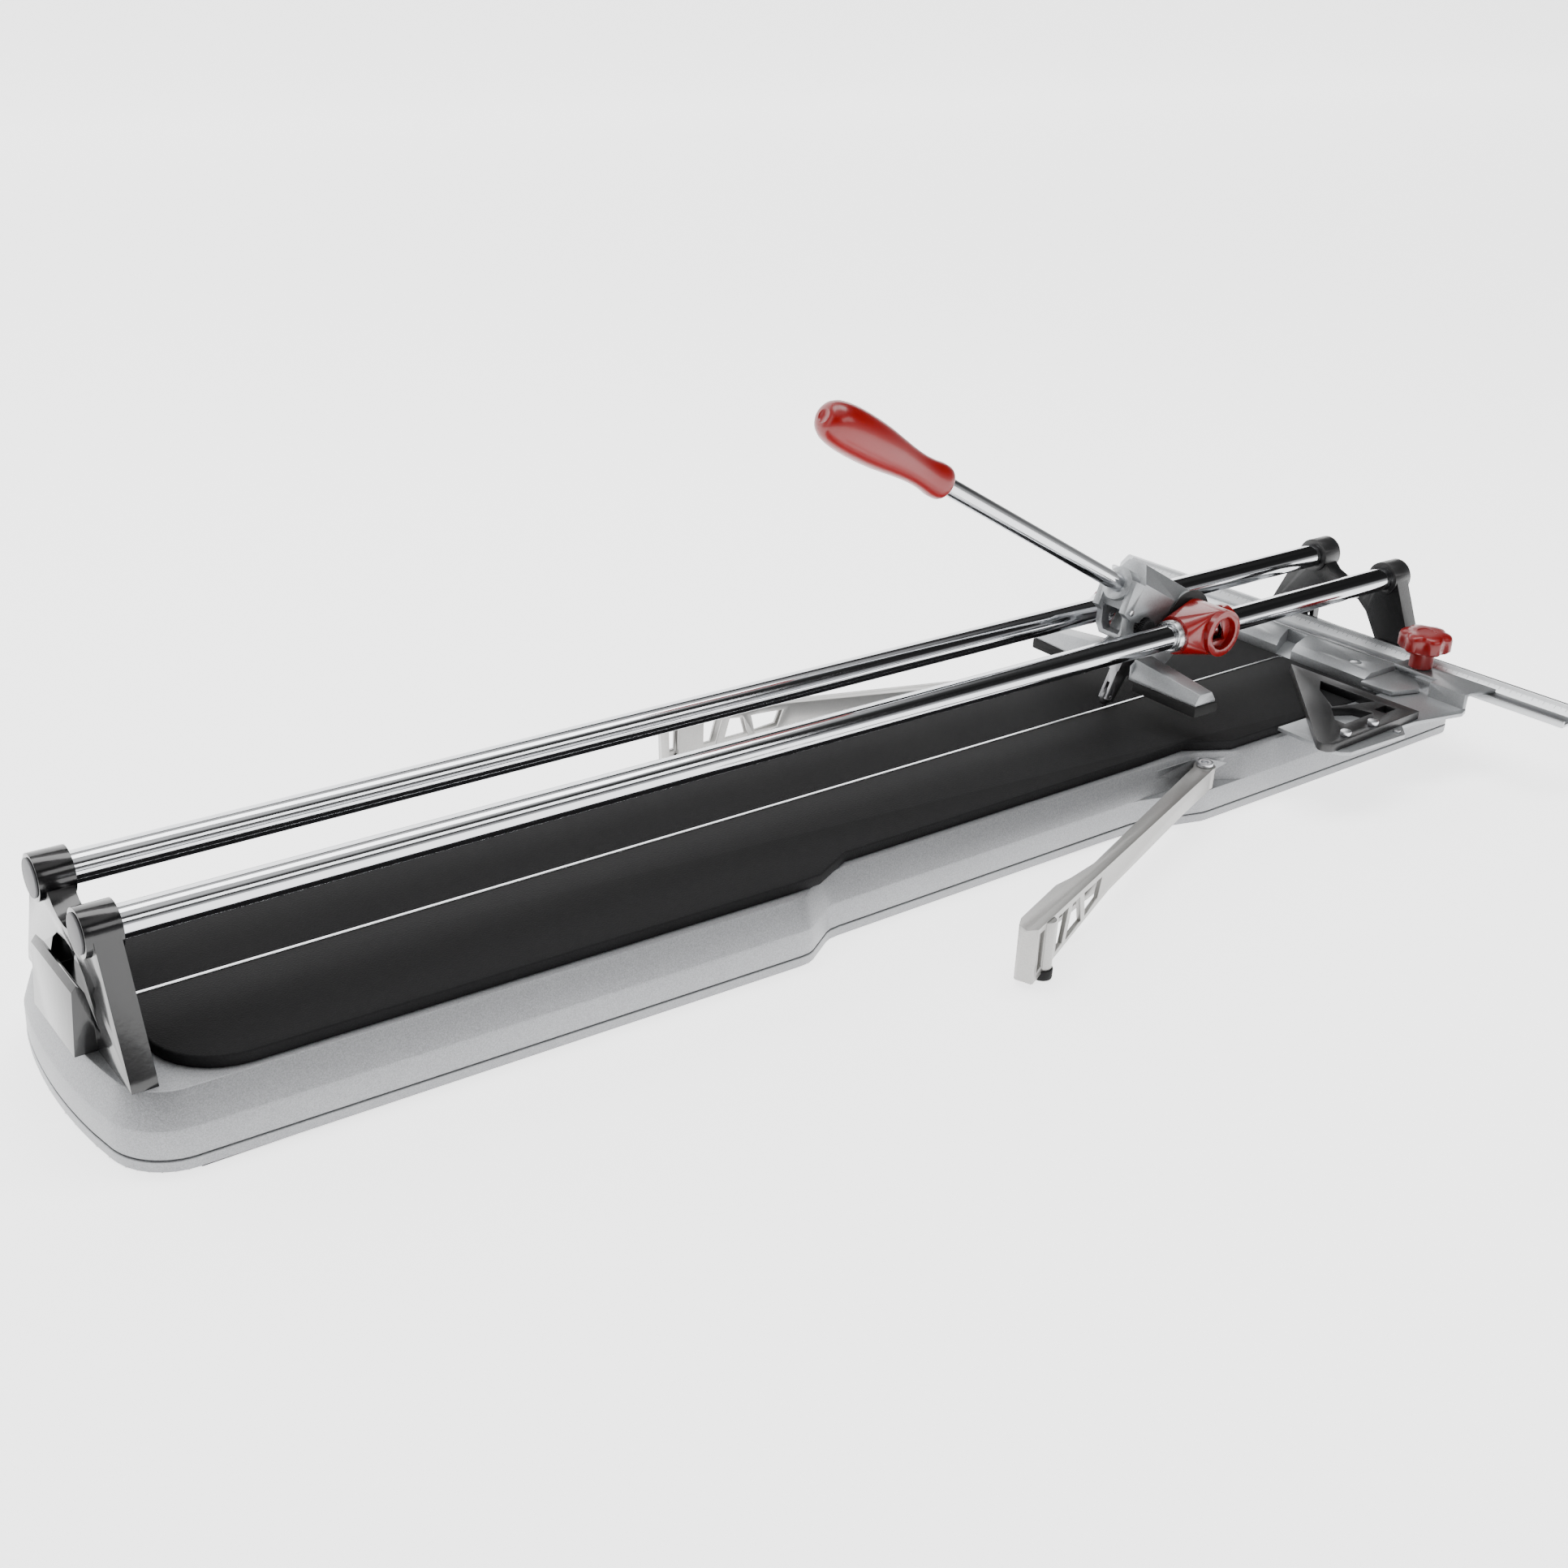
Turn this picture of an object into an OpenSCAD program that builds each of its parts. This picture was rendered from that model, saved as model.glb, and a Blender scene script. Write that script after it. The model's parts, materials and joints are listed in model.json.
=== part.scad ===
// Manual tile cutter: a cast base with two chromed rails, a sliding carriage with a
// scoring lever and a breaker, a measuring fence, and two fold-out support arms.
// X runs along the rails towards the fence, Y across, Z up from the floor.
// The origin is on the floor, on the break line, half way along the free rails.

/* [Base] */
// Height of the tile table above the floor
table_z = 56; // [54:1:60]
// Base length from the origin to the near end
base_near = 592; // [588:1:600]
// Base length from the origin to the far end
base_far = 588; // [586:1:600]
// Half width of the base at its waist
waist_w = 98.5; // [96:0.5:100]
// Half width of the base at its widest
wide_w = 117.5; // [116:0.5:120]

/* [Rails] */
// Rail diameter
rail_d = 20; // [20:1:20]
// Distance of each rail's axis from the break line
rail_y = 37.7; // [37.5:0.1:38]
// Height of the rail axes above the table
rail_rise = 69.6; // [69:0.1:72]
// Half of the free rail length between the two brackets
rail_half = 557.7; // [555:0.1:560]

/* [Carriage and lever] */
// Place of the lever's pivot along the rails
pivot_x = 326; // [300:1:330]
// Angle of the lever above the horizontal
lever_angle = 29; // [28:1:30]
// Distance from the pivot to the end of the handle
lever_l = 431; // [420:1:440]
// Diameter of the lever rod
rod_d = 14; // [13:1:15]
// Diameter of the scoring wheel
wheel_d = 16; // [14:1:16]

/* [Support arms] */
// Place of the arm pivots along the base
arm_x = 262; // [260:1:263]
// Distance of the arm pivots from the break line
arm_y = 107; // [107:1:108]
// How far the front arm stands open
front_arm_angle = 21.2; // [10:0.1:40]
// How far the back arm stands open
back_arm_angle = 17.7; // [10:0.1:40]

/* [Fence] */
// Angle between the ruler and the cross direction
ruler_angle = 3.1; // [2.5:0.1:3.5]
// Half length of the ruler
ruler_half = 238; // [230:1:245]

/* [Hidden] */
$fn = 48;
silver = [0.78, 0.79, 0.80];
black = [0.08, 0.08, 0.09];
red = [0.80, 0.05, 0.04];

// Levels of the base casting, from the floor up
rim_z = 1;
groove_z = 8.5;
crease_z = table_z - 28.5;
flange_z = table_z - 8;
pocket_z = table_z - 29;
axle_z = table_z + rail_rise;
rail_r = rail_d / 2;
fit = 0.05;
gap = 0.4;

// Plain solids between two coordinates
module slab(x, y, z) {
    translate([x[0], y[0], z[0]]) cube([x[1] - x[0], y[1] - y[0], z[1] - z[0]]);
}
module rod_x(r, x, y, z) {
    translate([x[0], y, z]) rotate([0, 90, 0]) cylinder(r = r, h = x[1] - x[0]);
}
module rod_y(r, x, y, z) {
    translate([x, y[0], z]) rotate([-90, 0, 0]) cylinder(r = r, h = y[1] - y[0]);
}
module rod_z(r, x, y, z) {
    translate([x, y, z[0]]) cylinder(r = r, h = z[1] - z[0]);
}
module prism_z(points, z) {
    translate([0, 0, z[0]]) linear_extrude(z[1] - z[0]) polygon(points);
}
// A profile in X and Z, extruded along Y
module prism_y(points, y) {
    translate([0, y[1], 0]) rotate([90, 0, 0]) linear_extrude(y[1] - y[0]) polygon(points);
}
// A profile in Y and Z, extruded along X
module prism_x(points, x) {
    translate([x[0], 0, 0]) rotate([90, 0, 90]) linear_extrude(x[1] - x[0]) polygon(points);
}
module mirror_y() {
    children();
    mirror([0, 1, 0]) children();
}

// ---- Base casting -------------------------------------------------------------------
// One half of the base outline, inset by d. The side steps out between out[0] and out[1].
function arc(cx, cy, r, a0, a1, n) =
    [for (i = [0:n]) let (a = a0 + (a1 - a0) * i / n) [cx + r * cos(a), cy + r * sin(a)]];
end_bow_r = 394;
function half_ring(d, out) = concat(
    arc(end_bow_r - base_near, 0, end_bow_r - d, 180, 188, 4),
    arc(46 - base_near, -64, 40 - d, 186, 268, 8),
    [[-137 - 0.24 * d, d - wide_w], [-100 - 0.24 * d, d - waist_w]],
    [[out[0] + 0.24 * d, d - waist_w], [out[1] + 0.24 * d, d - wide_w + 2]],
    arc(base_far - 10, -102, 10 - min(d, 9.5), 272, 360, 5)
);
function flip(points) = [for (i = [len(points) - 1:-1:1]) [points[i][0], -points[i][1]]];
function ring(d, out) = concat(half_ring(d, out), flip(half_ring(d, out)));

side_out = [200, 257];
// Stepped inwards towards the top, as the casting draws in
module base_outside() {
    prism_z(ring(0, side_out), [rim_z, groove_z]);
    prism_z(ring(0.6, side_out), [groove_z - 1, crease_z]);
    prism_z(ring(2.6, side_out), [crease_z - 1, crease_z + 7]);
    prism_z(ring(4.9, side_out), [crease_z + 6, crease_z + 14]);
    prism_z(ring(7.2, side_out), [crease_z + 13, flange_z]);
}
// Clear space above each arm pocket's floor
module arm_pocket() {
    prism_z([[150, -97.3], [266, -97.3], [303, -115.8], [303, -150], [150, -150]], [pocket_z, 90]);
}
module base_hollow() {
    prism_z(ring(5.5, side_out), [0, pocket_z - 4.5]);
    difference() {
        prism_z(ring(12, side_out), [pocket_z - 5.5, flange_z - 4]);
        mirror_y() prism_z([[150, -93], [266, -93], [303, -110], [303, -150], [150, -150]], [0, 90]);
    }
}
rib_pitch = 98;
module base_ribs() {
    for (i = [-5:5]) slab([i * rib_pitch - 1.5, i * rib_pitch + 1.5], [-130, 130], [4, table_z]);
    slab([-600, 600], [-4, 4], [4, table_z]);
    for (y = [-arm_y, arm_y]) rod_z(9, arm_x, y, [4, table_z]);
}
foot_places = [[-545, -70], [-545, 70], [545, -70], [545, 70], [0, 0]];
module base_casting() color(silver) difference() {
    union() {
        difference() {
            base_outside();
            difference() {
                base_hollow();
                base_ribs();
            }
        }
        for (p = foot_places) rod_z(13, p[0], p[1], [4, flange_z - 1]);
    }
    mirror_y() arm_pocket();
    for (p = foot_places) rod_z(10, p[0], p[1], [-1, 6]);
    for (y = [-arm_y, arm_y]) rod_z(4.05, arm_x, y, [table_z - 44, table_z]);
    for (side = [-1, 1]) for (y = bracket_screw_y)
        rod_z(3, side * (rail_half + 9.5), y, [flange_z - 10, table_z]);
    for (y = fence_screw_y) rod_z(3, fence_screw_x, y, [flange_z - 10, table_z]);
    on_ruler() for (y = ruler_screw_y) rod_z(3, 5, y, [-20, 0]);
}
module rubber_feet() color(black) for (p = foot_places) rod_z(10, p[0], p[1], [0, 6]);

// ---- Table pads and break strip ------------------------------------------------------
pad_far = 484;
function pad_outline() = concat(
    arc(-552 + 45, -92 + 45, 45, 180, 268, 8),
    [[-138, -101.7], [-116, -101.2], [-82, -85], [206, -85], [262, -83], [298, -102]],
    [[pad_far, -101.7], [pad_far, -1.4], [-552, -1.4]]
);
module front_pad() color(black) prism_z(pad_outline(), [flange_z, table_z]);
module back_pad() color(black) mirror([0, 1, 0]) prism_z(pad_outline(), [flange_z, table_z]);
module break_strip() color(silver) slab([-545, 483], [-1.2, 1.2], [flange_z, table_z + 0.4]);

// ---- Rail brackets -----------------------------------------------------------------
boss_r = 14.5;
boss_l = 21;
// Half of the bracket seen along the rails: leg, boss seat and half of the saddle
leg_outline = [
    [-86, flange_z], [-84, table_z - 1], [-52.2, axle_z], [-24, axle_z - 4],
    [-17, axle_z - 10], [-8, axle_z - 13.5], [0, axle_z - 14.5], [0, axle_z - 24],
    [-16, axle_z - 26], [-26, axle_z - 34], [-44, table_z + 8], [0, table_z + 8], [0, flange_z]
];
bracket_screw_y = [-58, 58];
module bracket() {
    shift = rail_half + 2;
    difference() {
        union() {
            mirror_y() {
                rod_x(boss_r, [rail_half, rail_half + boss_l], -rail_y, axle_z);
                prism_x(leg_outline, [shift, shift + 15]);
            }
            children();
        }
        mirror_y() rod_x(rail_r, [rail_half - 1, rail_half + boss_l - 2], -rail_y, axle_z);
        for (y = bracket_screw_y) rod_z(3, shift + 7.5, y, [flange_z - 1, table_z + 10]);
    }
}
module near_bracket() color(black) mirror([1, 0, 0]) bracket() {
    // Sloping end shield between the legs
    prism_y([
        [rail_half + 14, flange_z], [rail_half + 30, flange_z], [rail_half + 27, table_z + 32],
        [rail_half + 24, table_z + 36], [rail_half + 20, table_z + 30], [rail_half + 14, table_z]
    ], [-34, 34]);
}
module far_bracket() color(black) bracket() {
    mirror_y() {
        slab([rail_half + 16, rail_half + 26], [-80, -74], [flange_z, table_z + 6]);
        slab([rail_half + 16, rail_half + 24], [-42, -38], [flange_z, table_z + 40]);
    }
}
// Screws driven from under the base
module bracket_screws() color(silver) for (side = [-1, 1]) for (y = bracket_screw_y) {
    rod_z(3, side * (rail_half + 9.5), y, [flange_z - 4.1, table_z + 10]);
    rod_z(5.5, side * (rail_half + 9.5), y, [flange_z - 8, flange_z - 4]);
}
module rail_caps() color([0.35, 0.35, 0.37]) for (side = [0, 1]) mirror([side, 0, 0])
    mirror_y() rod_x(12, [rail_half + boss_l, rail_half + boss_l + 1.5], -rail_y, axle_z);
module front_rail() color(silver)
    rod_x(rail_r, [-rail_half - boss_l + 2, rail_half + boss_l - 2], -rail_y, axle_z);
module back_rail() color(silver)
    rod_x(rail_r, [-rail_half - boss_l + 2, rail_half + boss_l - 2], rail_y, axle_z);

// ---- Fence and ruler --------------------------------------------------------------
ruler_x = 541;
ruler_slope = tan(ruler_angle);
fence_top = table_z + 9.5;
fence_screw_x = 508;
fence_screw_y = [-60, 60];
ruler_screw_y = [-42, 42];
function fence_rear(y) = ruler_x - 13 - ruler_slope * y;
module fence_block() {
    // Front block with a chamfered nose; its back follows the ruler
    intersection() {
        prism_y([
            [488.5, flange_z], [488.5, table_z + 5.5], [497, fence_top], [540, fence_top],
            [540, flange_z]
        ], [-84, 84]);
        prism_z([[480, -84], [fence_rear(-84), -84], [fence_rear(84), 84], [480, 84]], [0, 90]);
    }
    // Seat under the ruler
    prism_z([[500, -83], [555, -83], [555, 83], [500, 83]], [flange_z, table_z + 4]);
}
module fence_casting() color(silver) difference() {
    fence_block();
    prism_z([[480, -9], [480, 6], [524, 26], [524, 5]], [table_z - 2, 90]);
    for (y = fence_screw_y) rod_z(3, fence_screw_x, y, [0, 90]);
    for (y = fence_screw_y) rod_z(5.4, fence_screw_x, y, [fence_top - 4.5, 90]);
    on_ruler() for (y = ruler_screw_y) rod_z(3, 5, y, [-20, 20]);
}
// Low end with the printed scale
module fence_end() color(silver) prism_z([
    [484, -84], [484, -95], [487, -114], [514, -122.5], [fence_rear(-103), -103],
    [fence_rear(-84), -84]
], [table_z + 0.8, table_z + 5]);
module fence_screws() color(silver) for (y = fence_screw_y) {
    rod_z(3, fence_screw_x, y, [flange_z - 5, fence_top - 4.4]);
    rod_z(5.2, fence_screw_x, y, [fence_top - 4.5, fence_top - 0.4]);
}
module on_ruler() {
    translate([ruler_x, 0, table_z]) rotate([0, 0, ruler_angle]) children();
}
module ruler_track() color(silver) on_ruler() prism_y([
    [0, 4], [0, 6.5], [-9, 6.5], [-9, 10], [-12, 10], [-12, 4]
], [-ruler_half, ruler_half]);
module ruler_band() color(silver) on_ruler() difference() {
    prism_y([[0, 4], [14, 4], [14, 16], [11.5, 16], [1, 10], [0, 6.5]], [-ruler_half, ruler_half]);
    for (y = ruler_screw_y) rod_z(3, 5, y, [0, 9]);
}
module ruler_screws() color(silver) on_ruler() for (y = ruler_screw_y) {
    rod_z(3, 5, y, [-12.1, 9]);
    rod_z(5.2, 5, y, [-16, -12]);
}

// ---- Side stop ----------------------------------------------------------------------
knob_x = 537;
knob_y = -104;
// Screw places on the corner stop, from its right-angled corner
stop_screw_places = [[-57, 6], [-94, 6]];
module on_corner() {
    translate([465, -156, table_z + 0.3]) rotate([0, 0, 2.5]) children();
}
module stop_carrier() color(silver) difference() {
    union() {
        // Clamp plate over the ruler
        prism_z([
            [526, -86], [545, -86], [550, -170], [523, -164], [515, -163.5], [515, -130], [526, -129.8]
        ], [table_z + 10.4, table_z + 13]);
        // Front flange down to the side plate
        prism_z([[515, -130], [519, -130], [519, -164.5], [515, -164]], [table_z - 2.7, table_z + 13]);
        // Side plate that carries the corner stop
        prism_z([
            [351, -104.6], [351, -159], [354, -165], [361, -169], [428, -170.5], [441, -158],
            [458, -158.5], [508, -169], [517, -166], [519, -164], [519, -104.6]
        ], [table_z - 2.7, table_z + 0.3]);
    }
    rod_z(4, knob_x, knob_y, [0, 90]);
    on_corner() for (p = stop_screw_places) rod_z(2.2, p[0], p[1], [-5, 1]);
    rod_z(1.5, 427, -163, [0, 90]);
}
corner_leg = 127;
module corner_windows() {
    // Three triangular windows between the ribs
    prism_z([[-12, 34], [-12, 88], [-30, 76], [-52, 48]], [-1, 20]);
    prism_z([[-36, 20], [-40, 36], [-56, 46], [-74, 30], [-74, 20]], [-1, 20]);
    prism_z([[-12, 14], [-12, 24], [-28, 24], [-28, 14]], [-1, 20]);
}
module corner_stop() color(black) on_corner() difference() {
    prism_z(concat([[0, 0], [0, corner_leg]], arc(-corner_leg + 12, 8, 8, 135, 270, 5)), [0, 6.7]);
    corner_windows();
    for (p = stop_screw_places) rod_z(2.2, p[0], p[1], [-1, 8]);
}
module stop_screws() color(silver) {
    on_corner() for (p = stop_screw_places) {
        rod_z(2.2, p[0], p[1], [-3, 6.8]);
        rod_z(4.4, p[0], p[1], [6.7, 10.7]);
    }
    rod_z(1.5, 427, -163, [table_z - 2.7, table_z + 0.4]);
    rod_z(3, 427, -163, [table_z + 0.3, table_z + 2]);
}
knob_base = table_z + 14;
module lock_knob() color(red) translate([knob_x, knob_y, knob_base]) difference() {
    union() {
        cylinder(r = 10, h = 16);
        // Six rounded lobes
        translate([0, 0, 15]) linear_extrude(17) polygon([for (a = [0:6:354])
            (19.7 + 2.3 * cos(6 * a)) * [cos(a), sin(a)]]);
    }
    translate([0, 0, -1]) cylinder(r = 3.95, h = 25);
}
module knob_stud() color(silver) {
    rod_z(3.95, knob_x, knob_y, [table_z + 10.4, knob_base + 24]);
    difference() {
        rod_z(8, knob_x, knob_y, [table_z + 13.3, knob_base]);
        rod_z(3.95, knob_x, knob_y, [table_z + 12, knob_base + 1]);
    }
}

// ---- Support arms --------------------------------------------------------------------
arm_top = table_z - 11;
arm_l = 316;
foot_u = 297;
// Outer and inner edges of the arm, at u from the pivot
function outer_v(u) = 8 - 0.0195 * u;
arm_plate = concat(
    arc(0, 0, 7.4, -90, 90, 8),
    [[-8, 7.9], [-arm_l, outer_v(arm_l)], [-arm_l - 5, -4], [-arm_l, -12], [-arm_l + 8, -14.5]],
    [[-252, -14.5], [-236, -10.5], [-206, -6], [-8, -6.5]]
);
// The web below the plate, seen from the side: truss windows cut by ribs
web_outline = [
    [6, arm_top - 2], [6, arm_top - 17], [-60, arm_top - 17], [-198, arm_top - 22],
    [-270, arm_top - 33], [-arm_l - 1, arm_top - 41], [-arm_l - 3, arm_top - 2]
];
module web_windows() {
    z0 = arm_top - 4.5;
    prism_y([[-213, z0], [-218, z0 - 15], [-238, z0 - 20], [-243, z0]], [-30, 30]);
    prism_y([[-250, z0], [-244, z0 - 21], [-268, z0 - 25], [-262, z0]], [-30, 30]);
    prism_y([[-268, z0], [-274, z0 - 25], [-284, z0 - 27], [-284, z0]], [-30, 30]);
    prism_y([[-305, z0], [-305, z0 - 28], [-312, z0 - 30], [-313, z0]], [-30, 30]);
}
// Built along -X from the pivot, with the outer side towards -Y
module arm_shape() {
    difference() {
        union() {
            prism_z([for (p = arm_plate) [p[0], -p[1]]], [arm_top - 3, arm_top]);
            intersection() {
                prism_y(web_outline, [-30, 30]);
                prism_z([for (p = arm_plate) [p[0], -p[1]]], [0, 90]);
            }
        }
        // Hollow between the two side walls
        intersection() {
            translate([0, 0, -3]) prism_y(web_outline, [-30, 30]);
            prism_z([
                [-16, -4.5], [-200, -1.2], [-252, 0.2], [-arm_l + 4, 1], [-arm_l + 4, 11.5],
                [-252, 11.5], [-206, 3], [-16, 3.5]
            ], [0, arm_top - 3]);
        }
        web_windows();
    }
    rod_z(8.4, 0, 0, [pocket_z + 1, arm_top]);
    rod_z(6, -foot_u, 0, [8, arm_top - 1]);
}
module place_arm(side) {
    if (side < 0) translate([arm_x, -arm_y, 0]) rotate([0, 0, front_arm_angle]) children();
    else mirror([0, 1, 0]) translate([arm_x, -arm_y, 0]) rotate([0, 0, back_arm_angle]) children();
}
module arm(side) place_arm(side) difference() {
    arm_shape();
    rod_z(4.1, 0, 0, [0, 90]);
    rod_z(2.5, -foot_u, 0, [7, 20]);
    rod_z(7.6, -foot_u, 0, [0, 8]);
}
module arm_foot(side) place_arm(side) {
    rod_z(7, -foot_u, 0, [0.3, 8]);
    rod_z(2.5, -foot_u, 0, [7.9, 18]);
}
module front_arm() color(silver) arm(-1);
module back_arm() color(silver) arm(1);
module front_arm_foot() color(black) arm_foot(-1);
module back_arm_foot() color(black) arm_foot(1);
module arm_pivot_screws() color(silver) mirror_y() {
    rod_z(4.05, arm_x, -arm_y, [table_z - 44, arm_top + 0.4]);
    difference() {
        rod_z(6.5, arm_x, -arm_y, [arm_top + 0.3, arm_top + 3.3]);
        rod_z(2.5, arm_x, -arm_y, [arm_top + 1.5, arm_top + 4]);
    }
}

// ---- Carriage ----------------------------------------------------------------------
slider_in = 22;
slider_out = 57;
bush_x = [[281.5, 298], [336, 350]];
module slider() difference() {
    union() {
        hull() {
            rod_x(15.5, [288, 292], -rail_y, axle_z, $fn = 32);
            rod_y(19, pivot_x, [-slider_out + 5, -slider_in], axle_z, $fn = 32);
        }
        rod_y(19, pivot_x, [-slider_out, -slider_in], axle_z);
        rod_x(15, [pivot_x, 348], -rail_y, axle_z);
    }
    rod_x(12, [280, 360], -rail_y, axle_z);
    for (b = bush_x) rod_x(13, b, -rail_y, axle_z);
    rod_y(13.5, pivot_x, [-slider_out - 1, -slider_out + 6], axle_z);
    prism_y([
        [pivot_x - 10, axle_z - 8], [pivot_x + 9, axle_z - 8], [pivot_x + 2, axle_z + 10]
    ], [-slider_out, -rail_y]);
    rod_y(6, pivot_x, [-rail_y, -slider_in + 1], axle_z);
    rod_z(2.5, 340, -rail_y, [axle_z + 13, axle_z + 30]);
}
module front_slider() color(red) slider();
module back_slider() color(red) mirror([0, 1, 0]) slider();
module slider_bushes() color(silver) mirror_y() for (b = bush_x) difference() {
    rod_x(13, b, -rail_y, axle_z);
    rod_x(rail_r + fit, [b[0] - 1, b[1] + 1], -rail_y, axle_z);
}
module cross_axle() color(silver) rod_y(6, pivot_x, [-25.2, 25.2], axle_z);
module hub_washers() color(black) mirror_y() difference() {
    rod_y(25, pivot_x, [-19.2, -17.8], axle_z);
    rod_y(6, pivot_x, [-20, -17], axle_z);
}

// ---- Lever -------------------------------------------------------------------------
head_w = 17.4;
// Lever frame: origin on the pivot, -X along the rod towards the handle
module on_lever() {
    translate([pivot_x, 0, axle_z]) rotate([0, lever_angle, 0]) children();
}
module head_core() {
    // Body over the pivot, with chamfered shoulders
    prism_x([[-17.4, -6], [-17.4, 8], [-9, 22.5], [9, 22.5], [17.4, 8], [17.4, -6]], [-67, 4]);
    rod_y(22, 0, [-head_w, head_w], 0);
    rod_x(13.5, [-79, -60], 0, 0);
    // Cheeks and the socket for the wheel holder
    for (y = [[-head_w, -11], [11, head_w]])
        prism_y([[-79, 6], [-75, -21], [-64, -24], [-27, -14], [-10, 0], [-27, 8]], y);
    slab([-53, -17], [-9, 9], [-34, 4]);
}
// Upright yoke at the front of the head, under the rod
yoke_x = [255.5, 264];
module yoke() difference() {
    prism_x([
        [-12, table_z + 63], [12, table_z + 63], [16.5, table_z + 70], [16.5, axle_z + 27],
        [-16.5, axle_z + 27], [-16.5, table_z + 70]
    ], yoke_x);
    prism_x([
        [-8, table_z + 67], [8, table_z + 67], [10.5, table_z + 72], [10.5, table_z + 88],
        [-10.5, table_z + 88], [-10.5, table_z + 72]
    ], [yoke_x[0] - 1, yoke_x[1] + 1]);
}
module lever_head() color(silver) difference() {
    union() {
        on_lever() head_core();
        yoke();
    }
    rod_y(6 + fit, pivot_x, [-30, 30], axle_z);
    on_lever() {
        rod_x(rod_d / 2, [-90, -42], 0, 0);
        slab([-35, -21], [-5, 5], [-40, -18]);
        rod_y(2.5, -68, [-30, 30], -17.5);
        rod_y(3, -46, [-24, -6], -22);
        rod_y(8.2, -46, [-24, -9], -22);
    }
}
module head_pin() color(silver) on_lever() for (y = [[-18.2, -10.6], [10.6, 18.2]])
    rod_y(2.5, -68, y, -17.5);
module lever_rod() color(silver) on_lever() rod_x(rod_d / 2, [-418, -42], 0, 0);
// Radius of the grip at each distance from the pivot
grip_profile = [
    [304, 12.2], [306, 13], [313, 13], [320, 12], [332, 11.6], [346, 12.6], [362, 14.6],
    [380, 16.4], [398, 17], [412, 16.6], [422, 14.8], [428, 11.4], [430.5, 7], [431, 0]
];
module handle_grip() color(red) on_lever() rotate([0, -90, 0]) difference() {
    rotate_extrude($fn = 64) polygon(concat(
        [[0, 304]], [for (p = grip_profile) [p[1], p[0] + lever_l - 431]]
    ));
    translate([0, 0, 300]) cylinder(r = rod_d / 2, h = 118);
}
wheel_r = wheel_d / 2;
wheel_n = -83.5;
wheel_s = -28;
module wheel_holder() color(silver) on_lever() difference() {
    union() {
        slab([-35, -21], [-5, 5], [-62, -18]);
        prism_y([[-35, -61.9], [-21, -61.9], [-23, wheel_n - 3], [-33, wheel_n - 3]], [-4, 4]);
    }
    slab([-50, -10], [-1.6, 1.6], [wheel_n - 10, wheel_n + 11]);
    rod_y(1.55, wheel_s, [-10, 10], wheel_n);
}
module scoring_wheel() color([0.6, 0.6, 0.62]) on_lever() translate([wheel_s, 0, wheel_n])
    rotate([90, 0, 0]) difference() {
        rotate_extrude() polygon([
            [0, -1.2], [wheel_r - 2, -1.2], [wheel_r, 0], [wheel_r - 2, 1.2], [0, 1.2]
        ]);
        translate([0, 0, -5]) cylinder(r = 1.55 + fit, h = 10);
    }
module wheel_axle() color(silver) on_lever() rod_y(1.55, wheel_s, [-4, 4], wheel_n);
module holder_screw() color([0.25, 0.25, 0.27]) on_lever() {
    rod_y(3, -46, [-11.1, -6], -22);
    rod_y(7.5, -46, [-23, -11], -22);
}

// ---- Breaker -------------------------------------------------------------------------
arm_in = 19.6;
arm_out = 21.4;
wing_z = table_z + 31;
module breaker_wing() {
    // Side plate from the axle down to the wing
    hull() {
        rod_y(12, pivot_x, [-arm_out, -arm_in], axle_z, $fn = 32);
        slab([262, 296], [-arm_out, -arm_in], [wing_z + 1, wing_z + 12]);
    }
    // Wing under the rail
    hull() {
        slab([262, 290], [-23, -arm_in], [wing_z, wing_z + 3]);
        slab([267, 284], [-23, -arm_in], [wing_z + 3, table_z + 47.5]);
        slab([264, 287], [-88, -84], [wing_z, wing_z + 2]);
        slab([268, 282], [-88, -84], [wing_z + 2, table_z + 40]);
    }
}
module breaker_casting() color(silver) difference() {
    union() {
        mirror_y() breaker_wing();
        slab([289, 297], [-arm_in - 0.5, arm_in + 0.5], [wing_z + 1, wing_z + 9]);
    }
    mirror_y() rod_y(6 + fit, pivot_x, [-30, -15], axle_z);
    mirror_y() rod_z(3, 293, -12, [0, 200]);
}
module breaker_pads() color(black) mirror_y() slab([262, 289], [-90, -24], [table_z + 22.5, wing_z]);
module breaker_magnets() color([0.4, 0.4, 0.42]) mirror_y() rod_z(3, 293, -12, [wing_z + 1, wing_z + 9]);

base_casting();
rubber_feet();
front_pad();
back_pad();
break_strip();
near_bracket();
far_bracket();
bracket_screws();
rail_caps();
front_rail();
back_rail();
fence_casting();
fence_screws();
fence_end();
ruler_track();
ruler_band();
ruler_screws();
arm_pivot_screws();
front_arm();
front_arm_foot();
back_arm();
back_arm_foot();
front_slider();
back_slider();
slider_bushes();
cross_axle();
hub_washers();
lever_head();
head_pin();
lever_rod();
handle_grip();
wheel_holder();
holder_screw();
scoring_wheel();
wheel_axle();
breaker_casting();
breaker_pads();
breaker_magnets();
stop_carrier();
corner_stop();
stop_screws();
lock_knob();
knob_stud();
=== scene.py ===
import json
import math

import bmesh
import bpy
from mathutils import Matrix, Vector

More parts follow.
